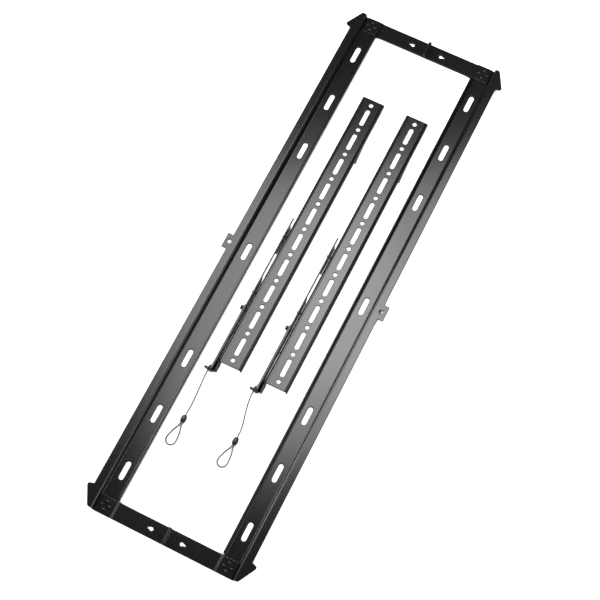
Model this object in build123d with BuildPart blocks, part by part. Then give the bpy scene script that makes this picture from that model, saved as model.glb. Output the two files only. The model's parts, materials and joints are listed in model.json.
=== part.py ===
from build123d import *
import os
from math import atan2, pi, radians, tan

os.makedirs("parts", exist_ok=True)

# A low-profile wall frame with two hook-on display arms, laid out flat.
# X runs along the rails, +Y is up when the frame hangs on its wall, and +Z
# points away from the wall. Z = 0 is the wall side. The origin is under the
# middle of the frame. Sizes are in millimetres.

# Wall frame
frame_length = 963.0
frame_height = 272.4
sheet = 2.0
bend_inside = 2.0
standoff = 10.0

# rail section, from its outer edge towards the middle of the frame
hook_flange_width = 14.7
web_run = 1.8
base_width = 26.7
lip_run = 1.8

slot_pitch = 101.6
slot_length = 32.0
slot_width = 8.5
slot_row_inset = 30.0

lug_width = 26.0
lug_reach = 9.0
lug_corner = 3.5
lug_hole = 7.2

ear_from_end = 35.5
ear_lead = 3.0
ear_rise = 10.6
ear_drop = 7.2
ear_corner = 1.6
rail_corner = 4.0
lip_end_gap = 29.5
lip_end_corner = 2.5
seat_reach = 1.7

# end plates
plate_width = 28.0
tab_seat = 25.5
tab_step_run = 5.0
tab_inset = 2.2
tab_corner = 1.0
fin_height = 12.0
fin_gap = 0.8
fin_root_bend = 1.0
fin_corner = 3.0
keyhole_head = 6.8
keyhole_neck = 3.5
keyhole_length = 11.0
keyhole_from_middle = 26.0

# rivets that join an end plate to the rails
corner_rivet = 3.2
corner_rivet_ring = 6.9
corner_rivet_row = 14.3
corner_rivet_head = 6.8
corner_rivet_head_height = 1.3
rivet_clearance = 0.1

# Display arms
arm_length = 521.0
arm_width = 39.6
arm_depth = 8.0
arm_bend = 3.0
arm_hole = 7.2
arm_hole_pitch = 50.0
arm_hole_count = 11
arm_slot_length = 32.0
arm_slot_width = 7.6
centre_square = 6.5

# top hook on both side flanges
throat_x = 160.7
hook_nose_length = 10.7
hook_slope_run = 27.3
hook_foot = 3.0
hook_slack = 0.5
hook_corner = 1.2

# spring latch: a bar that slides beside one flange
latch_travel = 11.0
seat_slack = 0.3
latch_sheet = 2.0
latch_gap = 3.9
latch_top = 17.5
latch_foot = 0.5
latch_head_ahead = 51.0
latch_tail_reach = 16.5
latch_nose_length = 10.0
latch_cam = 5.0
latch_notch_length = 49.0
latch_corner = 2.0
finger_length = 12.5
finger_depth = 4.5
running_clearance = 0.3

guide_pin = 2.6
guide_pin_z = 14.0
guide_upper_ahead = 28.0
guide_lower_back = 20.0
guide_shoulder = 3.9
guide_head = 4.2
guide_head_height = 0.8
guide_tail = 3.6
guide_tail_height = 0.9

lug_depth = 11.7
lug_height = 3.8
lug_foot_z = 12.5
spring_back = 32.0
spring_length = 60.0
spring_diameter = 4.6
spring_wire = 0.8
spring_turns = 16
spring_axis_from_flange = 3.8
flange_tail = 14.0
flange_tail_corner = 1.5
leg_heel = 2.0
leg_slope_run = 12.0

# pull strap with its bent end, and the rivet that carries it
strap_lead = 7.0
strap_foot_z = 4.0
strap_height = 10.0
strap_bend = 0.6
wing_foot_z = 1.0
wing_top_z = 17.3
wing_foot_width = 5.2
wing_reach = 11.4
wing_tip_z = 15.6
wing_tip_height = 3.0
wing_corner = 1.2
knob_back = 49.5
knob_diameter = 7.6
knob_height = 5.0
knob_edge = 1.6
knob_pin = 4.0
knob_tail_height = 1.0

# pull cord
cord_diameter = 2.4
cord_hole_clearance = 0.2
cord_y_from_strap = 2.5
cord_z = 8.0
stop_diameter = 3.6
stop_length = 6.0
ferrule_length = 12.0
ferrule_width = 9.2
ferrule_height = 6.0
ferrule_end = 5.8
loop_strand_gap = 0.4

# where the two arms lie inside the frame
left_arm_spot = (70.8, 36.3, 0)
right_arm_spot = (71.6, -43.7, 0)

# Derived positions
half_length = frame_length / 2
half_height = frame_height / 2
rail_top = standoff + sheet
hook_flange_y = half_height - hook_flange_width
web_y = hook_flange_y - web_run
base_y = web_y - base_width
lip_y = base_y - lip_run
lip_slope = atan2(standoff, lip_run)
flat_start_y = base_y + bend_inside * tan(lip_slope / 2)
lip_end_x = half_length - lip_end_gap
ear_notch_x = half_length - ear_from_end
slot_row = half_height - slot_row_inset
plate_x = half_length - plate_width / 2
plate_inner_x = half_length - plate_width
tab_end_y = web_y - tab_inset
tab_start_y = tab_end_y - tab_seat
rivet_row = web_y - corner_rivet_row

arm_top = rail_top + arm_depth
flange_y = arm_width / 2
flange_inner_y = flange_y - sheet
bar_inner_y = flange_y + latch_gap
bar_outer_y = bar_inner_y + latch_sheet
strap_outer_y = bar_outer_y + latch_sheet
latch_seat_x = throat_x - frame_height - seat_slack
nose_z = rail_top - sheet - hook_slack
notch_start_x = latch_seat_x + latch_nose_length
notch_end_x = notch_start_x + latch_notch_length
latch_head_x = notch_end_x + latch_head_ahead
latch_tail_x = -arm_length / 2 - latch_tail_reach
guide_upper_x = notch_end_x + guide_upper_ahead
guide_lower_x = latch_seat_x - guide_lower_back
spring_fixed_x = latch_seat_x - spring_back
spring_moving_x = spring_fixed_x - spring_length
knob_x = latch_seat_x - knob_back
strap_start_x = knob_x + strap_lead
cord_y = strap_outer_y + cord_y_from_strap
cord_hole = cord_diameter + 2 * cord_hole_clearance
pin_hole = guide_pin + 2 * rivet_clearance
guide_track = guide_pin + 2 * running_clearance
spring_y = flange_inner_y - spring_axis_from_flange
lug_reach_y = bar_inner_y - lug_depth
strap_middle_z = strap_foot_z + strap_height / 2


# The rail is one folded strip: a steep inner lip, the flat base on the
# wall, a steep web and the raised flange that the arms hook over.
with BuildPart() as upper_rail:
    with BuildSketch(Plane.YZ) as rail_section:
        with BuildLine():
            upper_skin = FilletPolyline(
                (lip_y, rail_top),
                (base_y, sheet),
                (web_y, sheet),
                (hook_flange_y, rail_top),
                (half_height + lug_reach, rail_top),
                radius=[bend_inside, bend_inside, bend_inside + sheet],
            )
            offset(upper_skin, amount=sheet, side=Side.RIGHT)
        make_face()
    extrude(amount=half_length, both=True)
    # flat outline of the strip: lug in the middle, an ear at each end
    with BuildSketch(Plane.XY) as rail_outline:
        with BuildLine():
            half_outline = Polyline(
                (0, half_height + lug_reach),
                (lug_width / 2, half_height + lug_reach),
                (lug_width / 2, half_height),
                (ear_notch_x, half_height),
                (ear_notch_x + ear_lead, half_height + ear_rise),
                (half_length, half_height - ear_drop),
                (half_length, flat_start_y),
                (lip_end_x, flat_start_y),
                (lip_end_x, lip_y - sheet),
                (0, lip_y - sheet),
            )
            mirror(half_outline, about=Plane.YZ)
        make_face()
        lug_corners = rail_outline.vertices().group_by(Axis.Y)[-1]
        fillet([v for v in lug_corners if abs(v.X) > 1], radius=lug_corner)
        ear_tips = [v for v in rail_outline.vertices() if abs(v.Y - half_height - ear_rise) < 0.01]
        fillet(ear_tips, radius=ear_corner)
        rail_ends = [v for v in rail_outline.vertices() if abs(v.Y - half_height + ear_drop) < 0.01]
        fillet(rail_ends, radius=rail_corner)
    extrude(amount=rail_top + sheet, mode=Mode.INTERSECT)
    # rounded tips at the upper corners of the lip
    lip_end_edges = [e for e in upper_rail.edges() if abs(abs(e.center().X) - lip_end_x) < 0.01]
    lip_tips = [e for e in lip_end_edges if e.center().Z > standoff]
    fillet(lip_tips, radius=lip_end_corner)
    # flat strip under each end plate, where the lip stops
    with BuildSketch(Plane.XY):
        with Locations((plate_x, flat_start_y + 1), (-plate_x, flat_start_y + 1)):
            Rectangle(plate_width, seat_reach + 1, align=(Align.CENTER, Align.MAX))
    extrude(amount=sheet)
    with BuildSketch(Plane.XY):
        with Locations((0, slot_row)):
            SlotOverall(slot_length, slot_width)
        with Locations((-3 * slot_pitch, slot_row), (3 * slot_pitch, slot_row)):
            with GridLocations(slot_pitch, 1, 3, 1):
                SlotOverall(slot_length, slot_width)
    extrude(amount=rail_top, mode=Mode.SUBTRACT)
    with BuildSketch(Plane.XY.offset(standoff)):
        with Locations((0, half_height)):
            Circle(lug_hole / 2)
    extrude(amount=sheet, mode=Mode.SUBTRACT)
    with BuildSketch(Plane.XY):
        with Locations((plate_x, rivet_row), (-plate_x, rivet_row)):
            with PolarLocations(corner_rivet_ring, 4):
                Circle(corner_rivet / 2)
    extrude(amount=sheet, mode=Mode.SUBTRACT)
upper_rail.part.label = "upper_rail"
export_step(upper_rail.part, "parts/upper_rail.step")

with BuildPart() as lower_rail:
    add(mirror(upper_rail.part, about=Plane.XZ, mode=Mode.PRIVATE))
lower_rail.part.label = "lower_rail"
export_step(lower_rail.part, "parts/lower_rail.step")

# The end plate is one strip across both rails, with a closed fold standing
# up at its middle and a stepped tab at each end that lies on the rail.
with BuildPart() as right_end_plate:
    with BuildSketch(Plane.YZ.offset(plate_inner_x)) as plate_section:
        with BuildLine():
            fold_radius = fin_gap / 2 + sheet
            fold = CenterArc((0, fin_height - fold_radius), fold_radius, 90, -90)
            plate_skin = FilletPolyline(
                (fold_radius, fin_height - fold_radius),
                (fold_radius, sheet),
                (tab_start_y - tab_step_run, sheet),
                (tab_start_y, 2 * sheet),
                (tab_end_y, 2 * sheet),
                radius=[fin_root_bend, bend_inside, bend_inside + sheet],
            )
            offset([fold, plate_skin], amount=sheet, side=Side.RIGHT)
        make_face()
        mirror(about=Plane.YZ)
    extrude(amount=plate_width)
    tab_ends = right_end_plate.edges().filter_by(Axis.Z).group_by(Axis.Y)
    fillet(tab_ends[0] + tab_ends[-1], radius=tab_corner)
    # rounded top corners of the fold
    with BuildSketch(Plane.XZ) as fin_corners:
        with Locations((plate_x, fin_height - fin_corner)):
            Rectangle(plate_width, 2 * fin_corner)
        with Locations((plate_x, fin_height)):
            RectangleRounded(
                plate_width,
                4 * fin_corner,
                fin_corner,
                align=(Align.CENTER, Align.MAX),
                mode=Mode.SUBTRACT,
            )
    extrude(amount=fold_radius, both=True, mode=Mode.SUBTRACT)
    # keyholes, with their necks pointing away from the middle
    with BuildSketch(Plane.XY):
        with Locations((plate_x, keyhole_from_middle), (plate_x, -keyhole_from_middle)):
            Circle(keyhole_head / 2)
        with Locations((plate_x, 0)):
            for way in (1, -1):
                with Locations((0, way * (keyhole_from_middle - keyhole_head / 2 + keyhole_length / 2))):
                    SlotOverall(keyhole_length, keyhole_neck, rotation=90)
    extrude(amount=sheet, mode=Mode.SUBTRACT)
    with BuildSketch(Plane.XY.offset(sheet)):
        with Locations((plate_x, rivet_row), (plate_x, -rivet_row)):
            with PolarLocations(corner_rivet_ring, 4):
                Circle(corner_rivet / 2)
    extrude(amount=sheet, mode=Mode.SUBTRACT)
right_end_plate.part.label = "right_end_plate"
export_step(right_end_plate.part, "parts/right_end_plate.step")

with BuildPart() as left_end_plate:
    add(mirror(right_end_plate.part, about=Plane.YZ, mode=Mode.PRIVATE))
left_end_plate.part.label = "left_end_plate"
export_step(left_end_plate.part, "parts/left_end_plate.step")

# Four low round-head rivets in each corner, set in a diamond.
with BuildPart() as one_rivet:
    with BuildSketch(Plane.XZ):
        with BuildLine():
            TangentArc(
                (0, 2 * sheet + corner_rivet_head_height),
                (corner_rivet_head / 2, 2 * sheet),
                tangent=(1, 0),
            )
            Polyline(
                (corner_rivet_head / 2, 2 * sheet),
                (corner_rivet / 2 - rivet_clearance, 2 * sheet),
                (corner_rivet / 2 - rivet_clearance, 0),
                (0, 0),
                (0, 2 * sheet + corner_rivet_head_height),
            )
        make_face()
    revolve(axis=Axis.Z)

with BuildPart() as corner_rivets:
    with Locations(*[(x, y, 0) for x in (-plate_x, plate_x) for y in (-rivet_row, rivet_row)]):
        with PolarLocations(corner_rivet_ring, 4):
            add(one_rivet.part)
corner_rivets.part.label = "corner_rivets"
export_step(corner_rivets.part, "parts/corner_rivets.step")


# Each arm piece is made about the arm's own middle and placed later.
# The arm is a shallow channel. Its hooks hang from both side flanges and
# catch the upper rail's raised flange.
with BuildPart() as arm:
    tail_x = -arm_length / 2 - flange_tail
    with BuildSketch(Plane.YZ.offset(tail_x)) as channel_section:
        with BuildLine():
            channel_skin = FilletPolyline(
                (-flange_y, rail_top),
                (-flange_y, arm_top),
                (flange_y, arm_top),
                (flange_y, rail_top),
                radius=arm_bend,
            )
            offset(channel_skin, amount=sheet, side=Side.RIGHT)
        make_face()
    extrude(amount=arm_length + flange_tail)
    # past the face only the latch-side flange goes on, as a tail
    with BuildSketch(Plane.XY) as face_end:
        with Locations((tail_x, -flange_y)):
            Rectangle(flange_tail, arm_width - sheet, align=Align.MIN)
    extrude(amount=arm_top, mode=Mode.SUBTRACT)
    with BuildSketch(Plane.XY.offset(arm_top - arm_bend)) as bend_end:
        with Locations((tail_x, -flange_y)):
            Rectangle(flange_tail, arm_width, align=Align.MIN)
    extrude(amount=arm_bend, mode=Mode.SUBTRACT)
    # the tail goes down to the wall as a leg
    with BuildSketch(Plane.XZ.offset(-flange_y)):
        with BuildLine():
            Polyline(
                (tail_x, 0),
                (tail_x, arm_top - arm_bend),
                (-arm_length / 2 + leg_slope_run, arm_top - arm_bend),
                (-arm_length / 2 + leg_slope_run, rail_top),
                (-arm_length / 2 - leg_heel, 0),
                close=True,
            )
        make_face()
    extrude(amount=sheet)
    tail_edges = arm.edges().filter_by(Axis.Y).group_by(Axis.X)[0]
    fillet(tail_edges, radius=flange_tail_corner)
    # one hook on each flange
    for hook_y in (flange_y, -flange_inner_y):
        with BuildSketch(Plane.XZ.offset(-hook_y)) as hook_shape:
            with BuildLine():
                Polyline(
                    (throat_x - hook_nose_length, 0),
                    (throat_x - hook_nose_length, nose_z),
                    (throat_x, nose_z),
                    (throat_x, rail_top + sheet),
                    (throat_x + hook_slope_run, rail_top + sheet),
                    (throat_x + hook_slope_run, rail_top),
                    (throat_x - hook_nose_length + hook_foot, 0),
                    close=True,
                )
            make_face()
            nose_corners = hook_shape.vertices().group_by(Axis.X)[0]
            fillet(nose_corners, radius=hook_corner)
        extrude(amount=sheet)
    # holes along the face: round ones and slots by turns, a square in the middle
    with BuildSketch(Plane.XY.offset(arm_top - sheet)) as face_holes:
        round_count = arm_hole_count // 2
        round_span = arm_hole_pitch * (round_count + 1) / 2
        with Locations((-round_span, 0), (round_span, 0)):
            with GridLocations(arm_hole_pitch, 1, round_count, 1):
                Circle(arm_hole / 2)
        with GridLocations(arm_hole_pitch, 1, arm_hole_count - 1, 1):
            SlotOverall(arm_slot_length, arm_slot_width)
        Rectangle(centre_square, centre_square, rotation=45)
    extrude(amount=sheet, mode=Mode.SUBTRACT)
    # guide-pin holes, and a window for the latch bar's spring lug
    with BuildSketch(Plane.XZ.offset(-flange_y)) as flange_cuts:
        with Locations((guide_upper_x, guide_pin_z), (guide_lower_x, guide_pin_z)):
            Circle(pin_hole / 2)
        with Locations((spring_moving_x - latch_travel - sheet - running_clearance, rail_top)):
            Rectangle(
                latch_travel + sheet + 2 * running_clearance,
                lug_foot_z + lug_height + running_clearance - rail_top,
                align=Align.MIN,
            )
    extrude(amount=sheet, mode=Mode.SUBTRACT)
    # inward lug that holds the spring's fixed end
    with BuildSketch(Plane.YZ.offset(spring_fixed_x)) as fixed_lug:
        with Locations((flange_inner_y, lug_foot_z)):
            Rectangle(flange_inner_y - lug_reach_y, lug_height, align=(Align.MAX, Align.MIN))
        with Locations((spring_y, lug_foot_z + lug_height / 2)):
            Circle(spring_wire, mode=Mode.SUBTRACT)
    extrude(amount=sheet)
arm.part.label = "arm"

# The latch bar is flat sheet on edge. The notch lets the lower rail in, the
# nose under it catches the raised flange, and a finger leads its upper end.
with BuildPart() as latch_bar:
    with BuildSketch(Plane.XZ.offset(-bar_outer_y)) as bar_shape:
        with BuildLine():
            Polyline(
                (latch_tail_x, latch_foot),
                (latch_tail_x, latch_top),
                (latch_head_x + finger_length, latch_top),
                (latch_head_x + finger_length, latch_top - finger_depth),
                (latch_head_x, latch_top - finger_depth),
                (latch_head_x, latch_foot),
                (notch_end_x, latch_foot),
                (notch_end_x, rail_top + hook_slack),
                (latch_seat_x, rail_top + hook_slack),
                (latch_seat_x, nose_z),
                (notch_start_x, nose_z),
                (notch_start_x, latch_foot + latch_cam),
                (notch_start_x - latch_cam, latch_foot),
                close=True,
            )
        make_face()
        bar_corners = bar_shape.vertices()
        fillet(bar_corners.group_by(Axis.X)[0], radius=latch_corner)
        fillet(bar_shape.vertices().group_by(Axis.X)[-1], radius=latch_corner)
    extrude(amount=latch_sheet)
    # tracks that run on the two guide pins
    with BuildSketch(Plane.XZ.offset(-bar_outer_y)) as tracks:
        for pin_x in (guide_upper_x, guide_lower_x):
            with Locations((pin_x + latch_travel / 2, guide_pin_z)):
                SlotOverall(guide_track + latch_travel, guide_track)
    extrude(amount=latch_sheet, mode=Mode.SUBTRACT)
    # lanced lug for the spring, with the opening that it was bent out of
    with BuildSketch(Plane.XZ.offset(-bar_outer_y)) as lance:
        with Locations((spring_moving_x, lug_foot_z)):
            Rectangle(lug_depth, lug_height, align=Align.MIN)
    extrude(amount=latch_sheet, mode=Mode.SUBTRACT)
    with BuildSketch(Plane.YZ.offset(spring_moving_x)) as moving_lug:
        with Locations((bar_outer_y, lug_foot_z)):
            Rectangle(bar_outer_y - lug_reach_y, lug_height, align=(Align.MAX, Align.MIN))
        with Locations((spring_y, lug_foot_z + lug_height / 2)):
            Circle(spring_wire, mode=Mode.SUBTRACT)
    extrude(amount=-sheet)
    with BuildSketch(Plane.XZ.offset(-bar_outer_y)) as knob_hole:
        with Locations((knob_x, strap_middle_z)):
            Circle(knob_pin / 2 + rivet_clearance)
    extrude(amount=latch_sheet, mode=Mode.SUBTRACT)
latch_bar.part.label = "latch_bar"

# Each guide pin has a spacer collar, a head outside the bar and a set tail
# inside the channel.
with BuildPart() as guide_pins:
    pin_spots = [(guide_upper_x, guide_pin_z), (guide_lower_x, guide_pin_z)]
    with BuildSketch(Plane.XZ.offset(-flange_inner_y)):
        with Locations(*pin_spots):
            Circle(guide_tail / 2)
    extrude(amount=guide_tail_height)
    with BuildSketch(Plane.XZ.offset(-flange_inner_y)):
        with Locations(*pin_spots):
            Circle(guide_pin / 2)
    extrude(amount=-(bar_outer_y + running_clearance - flange_inner_y))
    with BuildSketch(Plane.XZ.offset(-flange_y)):
        with Locations(*pin_spots):
            Circle(guide_shoulder / 2)
    extrude(amount=-(latch_gap - running_clearance))
    with BuildSketch(Plane.XZ.offset(-bar_outer_y - running_clearance)):
        with Locations(*pin_spots):
            Circle(guide_head / 2)
    extrude(amount=-guide_head_height)
guide_pins.part.label = "guide_pins"

# Extension spring as a sleeve with one ridge for each turn.
with BuildPart() as latch_spring:
    turn_pitch = spring_length / spring_turns
    with BuildSketch(Plane.XY) as spring_half:
        with Locations((0, spring_diameter / 2 - spring_wire)):
            Rectangle(spring_length, spring_wire / 2, align=Align.MIN)
        with Locations((spring_length / 2, spring_diameter / 2 - spring_wire / 2)):
            with GridLocations(turn_pitch, 1, spring_turns, 1):
                Trapezoid(turn_pitch * 0.7, spring_wire / 2, 60, align=(Align.CENTER, Align.MIN))
    revolve(axis=Axis.X)
latch_spring.part.label = "latch_spring"

# The pull strap lies on the bar's outer side and ends in an outward bend
# that the cord passes through.
with BuildPart() as pull_strap:
    with BuildSketch(Plane.XY.offset(strap_foot_z)) as strap_section:
        with BuildLine():
            strap_skin = FilletPolyline(
                (strap_start_x, strap_outer_y),
                (latch_tail_x + latch_sheet, strap_outer_y),
                (latch_tail_x + latch_sheet, bar_outer_y + wing_reach),
                radius=strap_bend,
            )
            offset(strap_skin, amount=latch_sheet, side=Side.LEFT)
        make_face()
    extrude(amount=strap_height)
    start_edges = pull_strap.edges().filter_by(Axis.Y).group_by(Axis.X)[-1]
    fillet(start_edges, radius=strap_height / 2 - 0.5)
    # the bent end widens into a wing over the whole height of the bar
    with BuildSketch(Plane.YZ.offset(latch_tail_x)) as wing:
        with BuildLine():
            Polyline(
                (bar_outer_y, wing_foot_z),
                (bar_outer_y + wing_foot_width, wing_foot_z),
                (bar_outer_y + wing_reach, wing_tip_z - wing_tip_height),
                (bar_outer_y + wing_reach, wing_tip_z),
                (bar_outer_y, wing_top_z),
                close=True,
            )
        make_face()
        wing_corners = [v for v in wing.vertices() if v.X > bar_outer_y + 1]
        fillet(wing_corners, radius=wing_corner)
    extrude(amount=latch_sheet)
    with BuildSketch(Plane.XZ.offset(-strap_outer_y)) as strap_pin_hole:
        with Locations((knob_x, strap_middle_z)):
            Circle(knob_pin / 2 + rivet_clearance)
    extrude(amount=latch_sheet, mode=Mode.SUBTRACT)
    with BuildSketch(Plane.YZ.offset(latch_tail_x)) as strap_cord_hole:
        with Locations((cord_y, cord_z)):
            Circle(cord_hole / 2)
    extrude(amount=latch_sheet, mode=Mode.SUBTRACT)
pull_strap.part.label = "pull_strap"

# Round-head rivet through strap and bar.
with BuildPart() as strap_rivet:
    with BuildSketch(Plane.XY.offset(strap_middle_z)) as rivet_half:
        with BuildLine():
            Polyline(
                (knob_x, bar_inner_y - knob_tail_height),
                (knob_x, strap_outer_y + knob_height),
                (knob_x + knob_diameter / 2, strap_outer_y + knob_height),
                (knob_x + knob_diameter / 2, strap_outer_y),
                (knob_x + knob_pin / 2, strap_outer_y),
                (knob_x + knob_pin / 2, bar_inner_y),
                (knob_x + knob_pin, bar_inner_y),
                (knob_x + knob_pin, bar_inner_y - knob_tail_height),
                close=True,
            )
        make_face()
        head_rim = [v for v in rivet_half.vertices() if v.X > knob_x + 1 and v.Y > strap_outer_y + 1]
        fillet(head_rim, radius=knob_edge)
    revolve(axis=Axis((knob_x, 0, strap_middle_z), (0, 1, 0)))
strap_rivet.part.label = "strap_rivet"

# Crimped stop that the cord pulls against the wing.
with BuildPart() as cord_stop:
    with BuildSketch(Plane.YZ.offset(latch_tail_x + latch_sheet)) as stop_section:
        with Locations((cord_y, cord_z)):
            Circle(stop_diameter / 2)
    extrude(amount=stop_length)
    chamfer(cord_stop.faces().sort_by(Axis.X)[-1].edges(), length=0.5)
cord_stop.part.label = "cord_stop"

# Both arms carry the same pieces.
arm_pieces = {
    "arm": arm.part,
    "latch_bar": latch_bar.part,
    "guide_pins": guide_pins.part,
    "pull_strap": pull_strap.part,
    "strap_rivet": strap_rivet.part,
    "cord_stop": cord_stop.part,
}
spring_spot = Location((spring_moving_x, spring_y, lug_foot_z + lug_height / 2))
arm_pieces["latch_spring"] = latch_spring.part.moved(spring_spot)
for side, spot in (("left", left_arm_spot), ("right", right_arm_spot)):
    for piece_name, piece in arm_pieces.items():
        with BuildPart() as placed:
            add(piece.moved(Location(spot)))
        placed.part.label = side + "_" + piece_name
        export_step(placed.part, "parts/" + side + "_" + piece_name + ".step")


def bend_radii(points):
    """Arc radius at each inner point, as large as its two runs allow."""
    radii = []
    for before, corner, after in zip(points, points[1:], points[2:]):
        arriving = Vector(*corner) - Vector(*before)
        leaving = Vector(*after) - Vector(*corner)
        half_turn = arriving.get_angle(leaving) / 2
        shorter = min(arriving.length, leaving.length)
        radii.append(0.45 * shorter / tan(radians(half_turn)))
    return radii


def check_cord(name, radii, route, part):
    """Print the bends, the length and the volume against section times length."""
    length = sum(edge.length for edge in route.edges())
    section = pi * cord_diameter ** 2 / 4
    print(name, "radii", [round(r, 1) for r in radii], "length", round(length, 1))
    print(name, "volume", round(part.volume, 1), "of", round(section * length, 1))


left_start = (left_arm_spot[0] + latch_tail_x + latch_sheet, left_arm_spot[1] + cord_y, cord_z)
left_ferrule = (-293.75, 64.0, ferrule_height / 2)
left_route_points = [
    left_start,
    (left_start[0] - 13, left_start[1], cord_z),
    (-236, 65.5, 4.4),
    (-256, 64.3, 2.1),
    (-271, 63.8, 1.6),
    (left_ferrule[0] + ferrule_length / 2 + 8, left_ferrule[1], left_ferrule[2]),
    (left_ferrule[0] + ferrule_length / 2, left_ferrule[1], left_ferrule[2]),
]
strand = (cord_diameter + loop_strand_gap) / 2
left_loop_points = [
    (left_ferrule[0] - ferrule_length / 2, left_ferrule[1] + strand, left_ferrule[2]),
    (left_ferrule[0] - ferrule_length / 2 - 5, left_ferrule[1] + strand, left_ferrule[2]),
    (-312.5, 69.6, 1.5),
    (-322.5, 73.0, 1.3),
    (-333.7, 75.0, 1.3),
    (-339.4, 70.6, 1.3),
    (-340.0, 63.5, 1.3),
    (-334.9, 57.9, 1.3),
    (-323.5, 58.3, 1.3),
    (-312.5, 60.0, 1.5),
    (left_ferrule[0] - ferrule_length / 2 - 5, left_ferrule[1] - strand, left_ferrule[2]),
    (left_ferrule[0] - ferrule_length / 2, left_ferrule[1] - strand, left_ferrule[2]),
]

right_start = (right_arm_spot[0] + latch_tail_x + latch_sheet, right_arm_spot[1] + cord_y, cord_z)
right_ferrule = (-289.5, -24.7, ferrule_height / 2)
right_route_points = [
    right_start,
    (right_start[0] - 12, right_start[1], cord_z),
    (-231, -15.4, 4.7),
    (-249, -19.6, 2.3),
    (-264, -23.6, 1.6),
    (right_ferrule[0] + ferrule_length / 2 + 8, right_ferrule[1], right_ferrule[2]),
    (right_ferrule[0] + ferrule_length / 2, right_ferrule[1], right_ferrule[2]),
]
right_loop_points = [
    (right_ferrule[0] - ferrule_length / 2, right_ferrule[1] + strand, right_ferrule[2]),
    (right_ferrule[0] - ferrule_length / 2 - 5, right_ferrule[1] + strand, right_ferrule[2]),
    (-308.3, -18.6, 1.5),
    (-318.5, -15.0, 1.3),
    (-328.7, -12.8, 1.3),
    (-334.8, -16.9, 1.3),
    (-335.7, -24.2, 1.3),
    (-330.9, -29.7, 1.3),
    (-320.0, -29.9, 1.3),
    (-309.3, -28.6, 1.5),
    (right_ferrule[0] - ferrule_length / 2 - 5, right_ferrule[1] - strand, right_ferrule[2]),
    (right_ferrule[0] - ferrule_length / 2, right_ferrule[1] - strand, right_ferrule[2]),
]

with BuildPart() as left_pull_cord:
    left_radii = bend_radii(left_route_points)
    with BuildLine() as left_route:
        FilletPolyline(*left_route_points, radius=left_radii)
    with BuildSketch(Plane(origin=left_route.line @ 0, z_dir=left_route.line % 0)):
        Circle(cord_diameter / 2)
    sweep(path=left_route.line)
left_pull_cord.part.label = "left_pull_cord"
export_step(left_pull_cord.part, "parts/left_pull_cord.step")
check_cord("left_pull_cord", left_radii, left_route.line, left_pull_cord.part)

with BuildPart() as left_cord_loop:
    left_loop_radii = bend_radii(left_loop_points)
    with BuildLine() as left_loop:
        FilletPolyline(*left_loop_points, radius=left_loop_radii)
    with BuildSketch(Plane(origin=left_loop.line @ 0, z_dir=left_loop.line % 0)):
        Circle(cord_diameter / 2)
    sweep(path=left_loop.line)
left_cord_loop.part.label = "left_cord_loop"
export_step(left_cord_loop.part, "parts/left_cord_loop.step")
check_cord("left_cord_loop", left_loop_radii, left_loop.line, left_cord_loop.part)

with BuildPart() as right_pull_cord:
    right_radii = bend_radii(right_route_points)
    with BuildLine() as right_route:
        FilletPolyline(*right_route_points, radius=right_radii)
    with BuildSketch(Plane(origin=right_route.line @ 0, z_dir=right_route.line % 0)):
        Circle(cord_diameter / 2)
    sweep(path=right_route.line)
right_pull_cord.part.label = "right_pull_cord"
export_step(right_pull_cord.part, "parts/right_pull_cord.step")
check_cord("right_pull_cord", right_radii, right_route.line, right_pull_cord.part)

with BuildPart() as right_cord_loop:
    right_loop_radii = bend_radii(right_loop_points)
    with BuildLine() as right_loop:
        FilletPolyline(*right_loop_points, radius=right_loop_radii)
    with BuildSketch(Plane(origin=right_loop.line @ 0, z_dir=right_loop.line % 0)):
        Circle(cord_diameter / 2)
    sweep(path=right_loop.line)
right_cord_loop.part.label = "right_cord_loop"
export_step(right_cord_loop.part, "parts/right_cord_loop.step")
check_cord("right_cord_loop", right_loop_radii, right_loop.line, right_cord_loop.part)

# The ferrule is a crimped egg-shaped sleeve: a loft through three ovals.
with BuildPart() as ferrule:
    ferrule_cuts = ((-0.5, ferrule_end), (0.0, ferrule_width), (0.5, ferrule_end))
    for along, wide in ferrule_cuts:
        with BuildSketch(Plane.YZ.offset(along * ferrule_length)):
            Ellipse(wide / 2, ferrule_height / 2 * (wide / ferrule_width) ** 0.5)
    loft()
ferrule.part.label = "ferrule"
for side, spot in (("left", left_ferrule), ("right", right_ferrule)):
    with BuildPart() as placed_ferrule:
        add(ferrule.part.moved(Location(spot)))
    placed_ferrule.part.label = side + "_ferrule"
    export_step(placed_ferrule.part, "parts/" + side + "_ferrule.step")
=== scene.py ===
"""A low-profile wall frame with two hook-on display arms, laid out flat.

X runs along the rails, +Y is up when the frame hangs on its wall and +Z
points away from the wall. Blender gets metres. Routes, spots and the named
sizes below are written in millimetres and multiplied by MM where they are used.
"""

import json

import bpy
import numpy as np
from mathutils import Matrix


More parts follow.
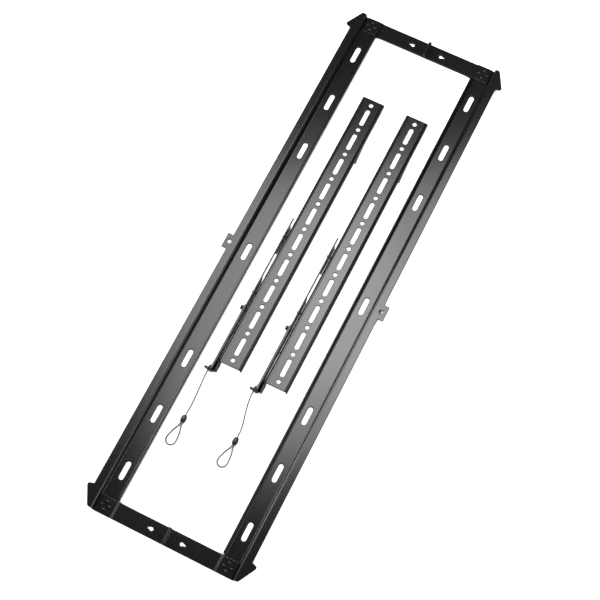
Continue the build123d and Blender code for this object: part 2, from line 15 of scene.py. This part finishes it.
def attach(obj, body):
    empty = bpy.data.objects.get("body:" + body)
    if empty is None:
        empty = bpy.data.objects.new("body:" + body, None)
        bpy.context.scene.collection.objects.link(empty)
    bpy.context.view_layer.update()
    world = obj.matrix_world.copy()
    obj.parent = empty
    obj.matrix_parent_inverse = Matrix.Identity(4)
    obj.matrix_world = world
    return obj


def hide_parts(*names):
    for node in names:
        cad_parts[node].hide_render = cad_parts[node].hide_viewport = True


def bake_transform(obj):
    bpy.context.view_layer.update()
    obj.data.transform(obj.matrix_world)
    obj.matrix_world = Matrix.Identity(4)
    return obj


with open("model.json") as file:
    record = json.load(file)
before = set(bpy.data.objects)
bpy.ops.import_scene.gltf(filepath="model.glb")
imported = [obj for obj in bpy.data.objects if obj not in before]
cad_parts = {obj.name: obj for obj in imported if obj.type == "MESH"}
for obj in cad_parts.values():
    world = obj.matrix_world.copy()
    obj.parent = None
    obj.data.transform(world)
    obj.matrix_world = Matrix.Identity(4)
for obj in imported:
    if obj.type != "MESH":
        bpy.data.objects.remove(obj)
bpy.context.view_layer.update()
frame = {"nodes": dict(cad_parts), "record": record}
scene = bpy.context.scene
scene.view_settings.view_transform = "Standard"

MM = 0.001

# middle of each arm in X and Y, and how far from it in Y its long bends lie
ARM_SPOTS = {"left": (70.8, 36.3), "right": (71.6, -43.7)}
ARM_BEND_START = 14.4
ARM_BEND_END = 20.6
ARM_BEND_RADIUS = 4.5

# pull cords: six strands, as shallow lobes that wind once in each lay length
CORD_DIAMETER = 2.4
CORD_STRANDS = 6
STRAND_DEPTH = 0.06
CORD_LAY = 9.0

# latch springs, measured from the middle of their arm
SPRING_ENDS = (-204.0, -144.0)
SPRING_Y = 14.0
SPRING_Z = 14.4
SPRING_RADIUS = 1.9
SPRING_WIRE = 0.4
SPRING_TURNS = 26
SPRING_END_GAP = 2.6
SPRING_HOOK = 1.2

# sockets of a Mix node that mixes colours
MIX_A, MIX_B, MIX_RESULT = 6, 7, 2

# powder coat: scale and height of its orange peel, radius of its soft edges
PEEL_SCALE = 900.0
PEEL_HEIGHT = 0.000004
COAT_EDGE = 0.0016


# camera

def photograph_camera():
    """The camera stands above the near end and looks down along the frame."""
    data = bpy.data.cameras.new("photograph_camera")
    data.sensor_width = 36.0
    data.lens = 86.46
    data.clip_start = 0.05
    data.clip_end = 60.0
    camera = bpy.data.objects.new("photograph_camera", data)
    scene.collection.objects.link(camera)
    right = (0.44887, -0.89357, -0.00657)
    up = (0.83941, 0.41912, 0.34603)
    back = (-0.30645, -0.16083, 0.93820)
    place = (-0.74507, -0.38167, 2.17248)
    turned = Matrix((right, up, back)).transposed().to_4x4()
    camera.matrix_world = Matrix.Translation(place) @ turned
    scene.camera = camera


photograph_camera()


# surfaces

def grid_mesh(name, points, wrap_columns=False, cap_ends=False):
    """A mesh from a rows x columns x 3 array of points, joined into quads.

    Wrapped columns close on themselves. Capped ends get one centre point
    each, which is the mean of the first and of the last row.
    """
    rows, columns = points.shape[:2]
    index = np.arange(rows * columns).reshape(rows, columns)
    row_next = np.roll(index, -1, axis=0)
    column_next = np.roll(index, -1, axis=1)
    both_next = np.roll(row_next, -1, axis=1)
    keep_columns = columns if wrap_columns else columns - 1
    quads = np.stack([index, column_next, both_next, row_next], axis=-1)
    quads = quads[:rows - 1, :keep_columns].reshape(-1, 4)
    vertices = points.reshape(-1, 3)
    faces = quads.tolist()
    if cap_ends:
        first, last = points[0].mean(axis=0), points[-1].mean(axis=0)
        vertices = np.vstack([vertices, first, last])
        centre_first, centre_last = rows * columns, rows * columns + 1
        ring_first = np.stack(
            [index[0], np.full(columns, centre_first), np.roll(index[0], -1)], axis=-1
        )
        ring_last = np.stack(
            [np.roll(index[-1], -1), np.full(columns, centre_last), index[-1]], axis=-1
        )
        faces += ring_first.tolist() + ring_last.tolist()
    mesh = bpy.data.meshes.new(name)
    mesh.from_pydata(vertices.tolist(), [], faces)
    mesh.validate()
    mesh.polygons.foreach_set("use_smooth", np.ones(len(mesh.polygons), dtype=bool))
    piece = bpy.data.objects.new(name, mesh)
    scene.collection.objects.link(piece)
    return piece


def path_frames(path):
    """Tangent, side and lift directions at each point of a path.

    The side direction is carried from point to point with its tangent part
    taken out, so it never turns suddenly.
    """
    tangent = np.gradient(path, axis=0)
    tangent /= np.linalg.norm(tangent, axis=1, keepdims=True)
    side = np.zeros_like(path)
    carried = np.cross(tangent[0], (0.0, 0.0, 1.0))
    for i, along in enumerate(tangent):
        carried = carried - along * np.dot(carried, along)
        carried = carried / np.linalg.norm(carried)
        side[i] = carried
    return tangent, side, np.cross(side, tangent)


def tube(name, path, radius, around=12, lobes=0, lobe_depth=0.0, lay=1.0):
    """A round tube along a path, with its strands as lobes.

    The radius at angle a and length s is r (1 - d |sin(n a / 2 + k s)|) with
    k = n pi / lay, so that n lobes of depth d wind once in each lay length.
    """
    step = np.linalg.norm(np.diff(path, axis=0), axis=1)
    run = np.concatenate([[0.0], np.cumsum(step)])
    angle = np.linspace(0, 2 * np.pi, around, endpoint=False)
    tangent, side, lift = path_frames(path)
    wind = lobes * (angle[None, :] / 2 + np.pi * run[:, None] / lay)
    reach = radius * (1 - lobe_depth * np.abs(np.sin(wind)))
    ring = (
        np.cos(angle)[None, :, None] * side[:, None, :]
        + np.sin(angle)[None, :, None] * lift[:, None, :]
    )
    points = path[:, None, :] + reach[:, :, None] * ring
    return grid_mesh(name, points, wrap_columns=True, cap_ends=True)


def route_line(name, points):
    """The smooth line of a cord: an open NURBS spline with the route's points
    as its control points, read back as points, each different from the last."""
    points_per_span = 24
    same_point = 1e-7
    curve = bpy.data.curves.new(name + "_route", "CURVE")
    curve.dimensions = "3D"
    curve.resolution_u = points_per_span
    spline = curve.splines.new("NURBS")
    spline.points.add(len(points) - 1)
    flat = np.hstack([np.array(points) * MM, np.ones((len(points), 1))])
    spline.points.foreach_set("co", flat.astype(np.float32).ravel())
    spline.order_u = 3
    spline.use_endpoint_u = True
    holder = bpy.data.objects.new(name + "_route", curve)
    scene.collection.objects.link(holder)
    bpy.context.view_layer.update()
    read = bpy.data.meshes.new_from_object(holder)
    line = np.zeros(len(read.vertices) * 3, dtype=np.float32)
    read.vertices.foreach_get("co", line)
    bpy.data.objects.remove(holder)
    bpy.data.curves.remove(curve)
    bpy.data.meshes.remove(read)
    line = line.reshape(-1, 3).astype(float)
    gap = np.linalg.norm(np.diff(line, axis=0), axis=1)
    return line[np.concatenate([[True], gap > same_point])]


# pull cords

CORD_ROUTES = {
    "left_pull_cord": [
        (-204.2, 66.5, 8.0), (-217.2, 66.5, 8.0), (-236, 65.5, 4.4), (-256, 64.3, 2.1),
        (-271, 63.8, 1.6), (-279.75, 64.0, 3.0), (-287.75, 64.0, 3.0),
    ],
    "left_cord_loop": [
        (-299.75, 65.4, 3.0), (-304.75, 65.4, 3.0), (-312.5, 69.6, 1.5), (-322.5, 73.0, 1.3),
        (-333.7, 75.0, 1.3), (-339.4, 70.6, 1.3), (-340.0, 63.5, 1.3), (-334.9, 57.9, 1.3),
        (-323.5, 58.3, 1.3), (-312.5, 60.0, 1.5), (-304.75, 62.6, 3.0), (-299.75, 62.6, 3.0),
    ],
    "right_pull_cord": [
        (-203.4, -13.5, 8.0), (-215.4, -13.5, 8.0), (-231, -15.4, 4.7), (-249, -19.6, 2.3),
        (-264, -23.6, 1.6), (-275.5, -24.7, 3.0), (-283.5, -24.7, 3.0),
    ],
    "right_cord_loop": [
        (-295.5, -23.3, 3.0), (-300.5, -23.3, 3.0), (-308.3, -18.6, 1.5), (-318.5, -15.0, 1.3),
        (-328.7, -12.8, 1.3), (-334.8, -16.9, 1.3), (-335.7, -24.2, 1.3), (-330.9, -29.7, 1.3),
        (-320.0, -29.9, 1.3), (-309.3, -28.6, 1.5), (-300.5, -26.1, 3.0), (-295.5, -26.1, 3.0),
    ],
}


def wire_cord(node):
    """Stranded wire along a cord's route: six strands seen as lobes."""
    points = CORD_ROUTES[node]
    line = route_line(node, points)
    piece = tube(node + "_wire", line, CORD_DIAMETER / 2 * MM, around=24,
                 lobes=CORD_STRANDS, lobe_depth=STRAND_DEPTH, lay=CORD_LAY * MM)
    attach(piece, node.split("_")[0] + "_latch")
    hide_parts(node)
    return piece


cord_pieces = []
for side in ("left", "right"):
    cord_pieces.append(wire_cord(side + "_pull_cord"))
    cord_pieces.append(wire_cord(side + "_cord_loop"))


# latch springs

def spring_line(spot):
    """The spring's wire: a helix x = x0 + p a, with radius r, between two
    hooks. Each hook is a quarter ellipse, (b + h) sin t outward along X and
    r cos t in Y with t from 0 to 90 degrees: it leaves the coil b before the
    lug's place and meets the axis h past it."""
    start, end = SPRING_ENDS
    body = SPRING_END_GAP
    points_per_turn = 16
    angle = np.linspace(0, 2 * np.pi * SPRING_TURNS, SPRING_TURNS * points_per_turn)
    x = np.linspace(start + body, end - body, angle.size)
    y = SPRING_Y + SPRING_RADIUS * np.cos(angle)
    z = SPRING_Z + SPRING_RADIUS * np.sin(angle)
    coil = np.stack([x, y, z], axis=1)
    turn = np.linspace(0, np.pi, 10)[1:]
    lead_in = np.stack(
        [start + body - (body + SPRING_HOOK) * np.sin(turn / 2),
         SPRING_Y + SPRING_RADIUS * np.cos(turn / 2),
         np.full(turn.size, SPRING_Z)], axis=1
    )
    lead_out = np.stack(
        [end - body + (body + SPRING_HOOK) * np.sin(turn / 2),
         SPRING_Y + SPRING_RADIUS * np.cos(turn / 2),
         np.full(turn.size, SPRING_Z)], axis=1
    )
    line = np.vstack([lead_in[::-1], coil, lead_out])
    return (line + np.array([spot[0], spot[1], 0.0])) * MM


spring_pieces = []
for side, spot in ARM_SPOTS.items():
    piece = tube(side + "_spring_wire", spring_line(spot), SPRING_WIRE * MM, around=8)
    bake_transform(piece)
    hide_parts(side + "_latch_spring")
    spring_pieces.append(piece)


# materials

def link(tree, a, b):
    tree.links.new(a, b)


def coat_texture_group():
    """Powder coat: a fine orange-peel height, a slow change of gloss and a
    faint dust mask, all from the piece's own coordinates."""
    group = bpy.data.node_groups.new("powder_coat_texture", "ShaderNodeTree")
    face = group.interface
    numbers = (("Peel Size", PEEL_SCALE), ("Gloss", 0.3), ("Gloss Change", 0.05), ("Dust", 0.02))
    for name, value in numbers:
        socket = face.new_socket(name=name, in_out="INPUT", socket_type="NodeSocketFloat")
        socket.default_value = value
    face.new_socket(name="Coat Colour", in_out="INPUT", socket_type="NodeSocketColor")
    face.new_socket(name="Colour", in_out="OUTPUT", socket_type="NodeSocketColor")
    face.new_socket(name="Roughness", in_out="OUTPUT", socket_type="NodeSocketFloat")
    face.new_socket(name="Height", in_out="OUTPUT", socket_type="NodeSocketFloat")
    nodes = group.nodes
    taken = nodes.new("NodeGroupInput")
    given = nodes.new("NodeGroupOutput")
    place = nodes.new("ShaderNodeTexCoord")
    peel = nodes.new("ShaderNodeTexNoise")
    peel.inputs["Detail"].default_value = 2.0
    peel.inputs["Roughness"].default_value = 0.5
    link(group, place.outputs["Object"], peel.inputs["Vector"])
    link(group, taken.outputs["Peel Size"], peel.inputs["Scale"])
    cloud = nodes.new("ShaderNodeTexNoise")
    cloud.inputs["Scale"].default_value = 22.0
    cloud.inputs["Detail"].default_value = 4.0
    link(group, place.outputs["Object"], cloud.inputs["Vector"])
    centred = nodes.new("ShaderNodeMath")
    centred.operation = "SUBTRACT"
    centred.inputs[1].default_value = 0.5
    link(group, cloud.outputs["Fac"], centred.inputs[0])
    change = nodes.new("ShaderNodeMath")
    change.operation = "MULTIPLY_ADD"
    link(group, centred.outputs[0], change.inputs[0])
    link(group, taken.outputs["Gloss Change"], change.inputs[1])
    link(group, taken.outputs["Gloss"], change.inputs[2])
    link(group, change.outputs[0], given.inputs["Roughness"])
    speck = nodes.new("ShaderNodeTexNoise")
    speck.inputs["Scale"].default_value = 260.0
    speck.inputs["Detail"].default_value = 3.0
    link(group, place.outputs["Object"], speck.inputs["Vector"])
    dust = nodes.new("ShaderNodeMapRange")
    dust.inputs["From Min"].default_value = 0.58
    dust.inputs["From Max"].default_value = 0.8
    link(group, speck.outputs["Fac"], dust.inputs["Value"])
    amount = nodes.new("ShaderNodeMath")
    amount.operation = "MULTIPLY"
    link(group, dust.outputs["Result"], amount.inputs[0])
    link(group, taken.outputs["Dust"], amount.inputs[1])
    mix = nodes.new("ShaderNodeMix")
    mix.data_type = "RGBA"
    link(group, amount.outputs[0], mix.inputs["Factor"])
    link(group, taken.outputs["Coat Colour"], mix.inputs[MIX_A])
    dust_colour = (0.35, 0.35, 0.34, 1.0)
    mix.inputs[MIX_B].default_value = dust_colour
    link(group, mix.outputs[MIX_RESULT], given.inputs["Colour"])
    link(group, peel.outputs["Fac"], given.inputs["Height"])
    return group


COAT_TEXTURE = coat_texture_group()


def math_steps(tree, socket, steps):
    """A chain of math nodes, each with its own second number."""
    for operation, number in steps:
        step = tree.nodes.new("ShaderNodeMath")
        step.operation = operation
        step.inputs[1].default_value = number
        link(tree, socket, step.inputs[0])
        socket = step.outputs[0]
    return socket


def arm_edge_fall(tree):
    """A height that rounds the two long bends of both arms: -u^2 / 2r with r
    the bends' radius, where u is how far Y is beyond the bends' start from an
    arm's centre line, and 0 past their end."""
    place = tree.nodes.new("ShaderNodeTexCoord")
    axes = tree.nodes.new("ShaderNodeSeparateXYZ")
    link(tree, place.outputs["Object"], axes.inputs["Vector"])
    middle = (ARM_SPOTS["left"][1] + ARM_SPOTS["right"][1]) / 2 * MM
    apart = (ARM_SPOTS["left"][1] - ARM_SPOTS["right"][1]) / 2 * MM
    away = math_steps(tree, axes.outputs["Y"], [
        ("SUBTRACT", middle), ("ABSOLUTE", 0.0), ("SUBTRACT", apart), ("ABSOLUTE", 0.0),
    ])
    fall = math_steps(tree, away, [
        ("SUBTRACT", ARM_BEND_START * MM), ("MAXIMUM", 0.0), ("POWER", 2.0),
        ("MULTIPLY", -1 / (2 * ARM_BEND_RADIUS * MM)),
    ])
    inside = math_steps(tree, away, [("LESS_THAN", ARM_BEND_END * MM)])
    kept = tree.nodes.new("ShaderNodeMath")
    kept.operation = "MULTIPLY"
    link(tree, fall, kept.inputs[0])
    link(tree, inside, kept.inputs[1])
    return kept.outputs[0]


def powder_coat(name, colour, gloss, gloss_change, dust, long_bends=False):
    """Satin black powder coat, which rounds the edges of the steel sheet.
    With long_bends, the arms' two long bends are rounded more."""
    material = bpy.data.materials.new(name)
    material.use_nodes = True
    tree = material.node_tree
    shader = tree.nodes["Principled BSDF"]
    texture = tree.nodes.new("ShaderNodeGroup")
    texture.node_tree = COAT_TEXTURE
    texture.inputs["Peel Size"].default_value = PEEL_SCALE
    texture.inputs["Gloss"].default_value = gloss
    texture.inputs["Gloss Change"].default_value = gloss_change
    texture.inputs["Dust"].default_value = dust
    texture.inputs["Coat Colour"].default_value = (*colour, 1.0)
    edge = tree.nodes.new("ShaderNodeBevel")
    edge.samples = 6
    edge.inputs["Radius"].default_value = COAT_EDGE
    rounded = edge.outputs["Normal"]
    if long_bends:
        bend = tree.nodes.new("ShaderNodeBump")
        bend.inputs["Strength"].default_value = 1.0
        bend.inputs["Distance"].default_value = 1.0
        link(tree, arm_edge_fall(tree), bend.inputs["Height"])
        link(tree, rounded, bend.inputs["Normal"])
        rounded = bend.outputs["Normal"]
    bump = tree.nodes.new("ShaderNodeBump")
    bump.inputs["Strength"].default_value = 0.35
    bump.inputs["Distance"].default_value = PEEL_HEIGHT
    link(tree, rounded, bump.inputs["Normal"])
    link(tree, texture.outputs["Colour"], shader.inputs["Base Color"])
    link(tree, texture.outputs["Roughness"], shader.inputs["Roughness"])
    link(tree, texture.outputs["Height"], bump.inputs["Height"])
    link(tree, bump.outputs["Normal"], shader.inputs["Normal"])
    shader.inputs["Specular IOR Level"].default_value = 0.5
    return material


def drawn_metal(name, colour, roughness, scale, metallic):
    """Bare drawn wire with fine spots that are darker and a little glossier
    than the rest."""
    spot_shade = 0.55
    glossier_spots, duller_rest = 0.08, 0.1
    material = bpy.data.materials.new(name)
    material.use_nodes = True
    tree = material.node_tree
    shader = tree.nodes["Principled BSDF"]
    place = tree.nodes.new("ShaderNodeTexCoord")
    spots = tree.nodes.new("ShaderNodeTexNoise")
    spots.inputs["Scale"].default_value = scale
    spots.inputs["Detail"].default_value = 4.0
    link(tree, place.outputs["Object"], spots.inputs["Vector"])
    ramp = tree.nodes.new("ShaderNodeValToRGB")
    ramp.color_ramp.elements[0].position = 0.3
    ramp.color_ramp.elements[0].color = (*[c * spot_shade for c in colour], 1.0)
    ramp.color_ramp.elements[1].position = 0.7
    ramp.color_ramp.elements[1].color = (*colour, 1.0)
    link(tree, spots.outputs["Fac"], ramp.inputs["Fac"])
    link(tree, ramp.outputs["Color"], shader.inputs["Base Color"])
    rough = tree.nodes.new("ShaderNodeMapRange")
    rough.inputs["To Min"].default_value = roughness - glossier_spots
    rough.inputs["To Max"].default_value = roughness + duller_rest
    link(tree, spots.outputs["Fac"], rough.inputs["Value"])
    link(tree, rough.outputs["Result"], shader.inputs["Roughness"])
    bump = tree.nodes.new("ShaderNodeBump")
    bump.inputs["Strength"].default_value = 0.4
    bump.inputs["Distance"].default_value = 0.00002
    link(tree, spots.outputs["Fac"], bump.inputs["Height"])
    link(tree, bump.outputs["Normal"], shader.inputs["Normal"])
    shader.inputs["Metallic"].default_value = metallic
    return material


# colour, gloss, change of gloss and dust of each coat; then colour,
# roughness, scale of spots and metallic share of each bare metal
SATIN_BLACK = (0.01, 0.01, 0.0104)
frame_coat = powder_coat("frame_coat", SATIN_BLACK, 0.16, 0.02, 0.004)
arm_coat = powder_coat("arm_coat", SATIN_BLACK, 0.16, 0.02, 0.004, long_bends=True)
rivet_coat = powder_coat("rivet_coat", (0.013, 0.013, 0.014), 0.24, 0.05, 0.01)
crimp_metal = powder_coat("crimp_metal", (0.014, 0.014, 0.015), 0.3, 0.06, 0.01)
cord_wire = drawn_metal("cord_wire", (0.32, 0.32, 0.33), 0.5, 900.0, 0.1)
spring_steel = drawn_metal("spring_steel", (0.5, 0.5, 0.51), 0.3, 700.0, 0.9)

FINISHES = {
    "frame_coat": frame_coat, "arm_coat": arm_coat, "rivet_coat": rivet_coat,
    "crimp_metal": crimp_metal, "cord_wire": cord_wire, "spring_steel": spring_steel,
}
for entry in frame["record"]["subparts"]:
    node = frame["nodes"][entry["node"]]
    node.data.materials.clear()
    node.data.materials.append(FINISHES[entry["material_slot"]])
for piece in cord_pieces:
    piece.data.materials.append(cord_wire)
for piece in spring_pieces:
    piece.data.materials.append(spring_steel)


# floor, world and lamps

def floor():
    """A wide whitish floor. The camera sees it white and it keeps the shadow. Painted shade, set
    by how closed in each spot is, darkens both its colour and the white the camera sees, so that
    it is dark inside the narrow slits between the arms' parts."""
    half_width = 6.0
    below_frame = 0.0002
    shade_reach = 0.016
    # painted shade: occlusion levels at which the floor is painted fully dark, and at which it
    # is not darkened at all
    painted_shade_full_level, painted_shade_none_level = 0.43, 0.54
    corner = np.linspace(-half_width, half_width, 2)
    x, y = np.meshgrid(corner, corner, indexing="ij")
    z = np.full_like(x, -below_frame)
    piece = grid_mesh("floor", np.stack([x, y, z], axis=-1)[::-1])
    material = bpy.data.materials.new("floor")
    material.use_nodes = True
    tree = material.node_tree
    shader = tree.nodes["Principled BSDF"]
    shader.inputs["Roughness"].default_value = 0.9
    shader.inputs["Specular IOR Level"].default_value = 0.0
    rays = tree.nodes.new("ShaderNodeLightPath")
    glow = tree.nodes.new("ShaderNodeEmission")
    glow.inputs["Color"].default_value = (1.0, 1.0, 1.0, 1.0)
    nearby = tree.nodes.new("ShaderNodeAmbientOcclusion")
    nearby.inputs["Distance"].default_value = shade_reach
    nearby.samples = 16
    painted_shade_mask = tree.nodes.new("ShaderNodeMapRange")
    painted_shade_mask.inputs["From Min"].default_value = painted_shade_full_level
    painted_shade_mask.inputs["From Max"].default_value = painted_shade_none_level
    link(tree, nearby.outputs["AO"], painted_shade_mask.inputs["Value"])
    # painted shade: the floor's colour runs from 0.03 in closed-in slits to 0.8 in the open
    floor_colour_with_painted_shade = tree.nodes.new("ShaderNodeMix")
    floor_colour_with_painted_shade.data_type = "RGBA"
    floor_colour_with_painted_shade.inputs[MIX_A].default_value = (0.03, 0.03, 0.03, 1.0)
    floor_colour_with_painted_shade.inputs[MIX_B].default_value = (0.8, 0.8, 0.8, 1.0)
    link(tree, painted_shade_mask.outputs["Result"], floor_colour_with_painted_shade.inputs["Factor"])
    link(tree, floor_colour_with_painted_shade.outputs[MIX_RESULT], shader.inputs["Base Color"])
    # painted shade: the camera's white glow is dimmed by the same mask
    seen = tree.nodes.new("ShaderNodeMath")
    seen.operation = "MULTIPLY"
    link(tree, rays.outputs["Is Camera Ray"], seen.inputs[0])
    link(tree, painted_shade_mask.outputs["Result"], seen.inputs[1])
    link(tree, seen.outputs[0], glow.inputs["Strength"])
    both = tree.nodes.new("ShaderNodeAddShader")
    out = tree.nodes["Material Output"]
    link(tree, shader.outputs["BSDF"], both.inputs[0])
    link(tree, glow.outputs["Emission"], both.inputs[1])
    link(tree, both.outputs["Shader"], out.inputs["Surface"])
    piece.data.materials.append(material)


def studio_world(overhead, horizon):
    """White to the camera. To everything else it is a dim room, whose walls
    are lighter than its ceiling."""
    world = bpy.data.worlds.new("studio")
    scene.world = world
    world.use_nodes = True
    tree = world.node_tree
    back = tree.nodes["Background"]
    back.inputs["Color"].default_value = (1.0, 1.0, 1.0, 1.0)
    direction = tree.nodes.new("ShaderNodeTexCoord")
    axes = tree.nodes.new("ShaderNodeSeparateXYZ")
    link(tree, direction.outputs["Generated"], axes.inputs["Vector"])
    room = tree.nodes.new("ShaderNodeMapRange")
    room.inputs["From Min"].default_value = 0.3
    room.inputs["From Max"].default_value = 0.75
    room.inputs["To Min"].default_value = horizon
    room.inputs["To Max"].default_value = overhead
    link(tree, axes.outputs["Z"], room.inputs["Value"])
    rays = tree.nodes.new("ShaderNodeLightPath")
    level = tree.nodes.new("ShaderNodeMapRange")
    link(tree, rays.outputs["Is Camera Ray"], level.inputs["Value"])
    link(tree, room.outputs["Result"], level.inputs["To Min"])
    level.inputs["To Max"].default_value = 1.0
    link(tree, level.outputs["Result"], back.inputs["Strength"])


def softbox(name, place, aim, turn, size, power):
    """A rectangular lamp at a place, faced to the point that it lights and
    turned in its own plane."""
    data = bpy.data.lights.new(name, "AREA")
    data.shape = "RECTANGLE"
    data.size, data.size_y = size
    data.energy = power
    lamp = bpy.data.objects.new(name, data)
    away = np.array(place) - np.array(aim)
    away /= np.linalg.norm(away)
    across = np.array((np.cos(turn), np.sin(turn), 0.0))
    across -= away * np.dot(across, away)
    across /= np.linalg.norm(across)
    upward = np.cross(away, across)
    turned = Matrix((across, upward, away)).transposed().to_4x4()
    lamp.matrix_world = Matrix.Translation(place) @ turned
    scene.collection.objects.link(lamp)


floor()
studio_world(overhead=0.02, horizon=0.25)

# name, place, aim, turn in radians, size and watts
softbox("key_outer", (0.917, 0.306, 2.8), (0.917, 0.306, 0.0), 0.454, (1.14, 1.31), 26.5)
softbox("key_inner", (0.917, 0.306, 2.79), (0.917, 0.306, 0.0), 0.454, (0.67, 0.4), 3.3)
softbox("lip_panel", (0.95, 1.5, 2.8), (0.95, 1.5, 0.0), 0.0, (1.3, 0.5), 9.0)
softbox("step_panel", (0.0, -1.5, 2.8), (-0.3, 0.0, 0.0), 0.0, (1.3, 0.8), 5.5)
softbox("side_panel", (0.25, -2.3, 1.3), (0.25, 0.0, 0.3), 0.0, (1.4, 1.7), 20.0)
softbox("back_panel", (0.56, 2.4, 1.6), (0.56, 0.0, 0.4), 0.0, (1.1, 2.4), 50.0)
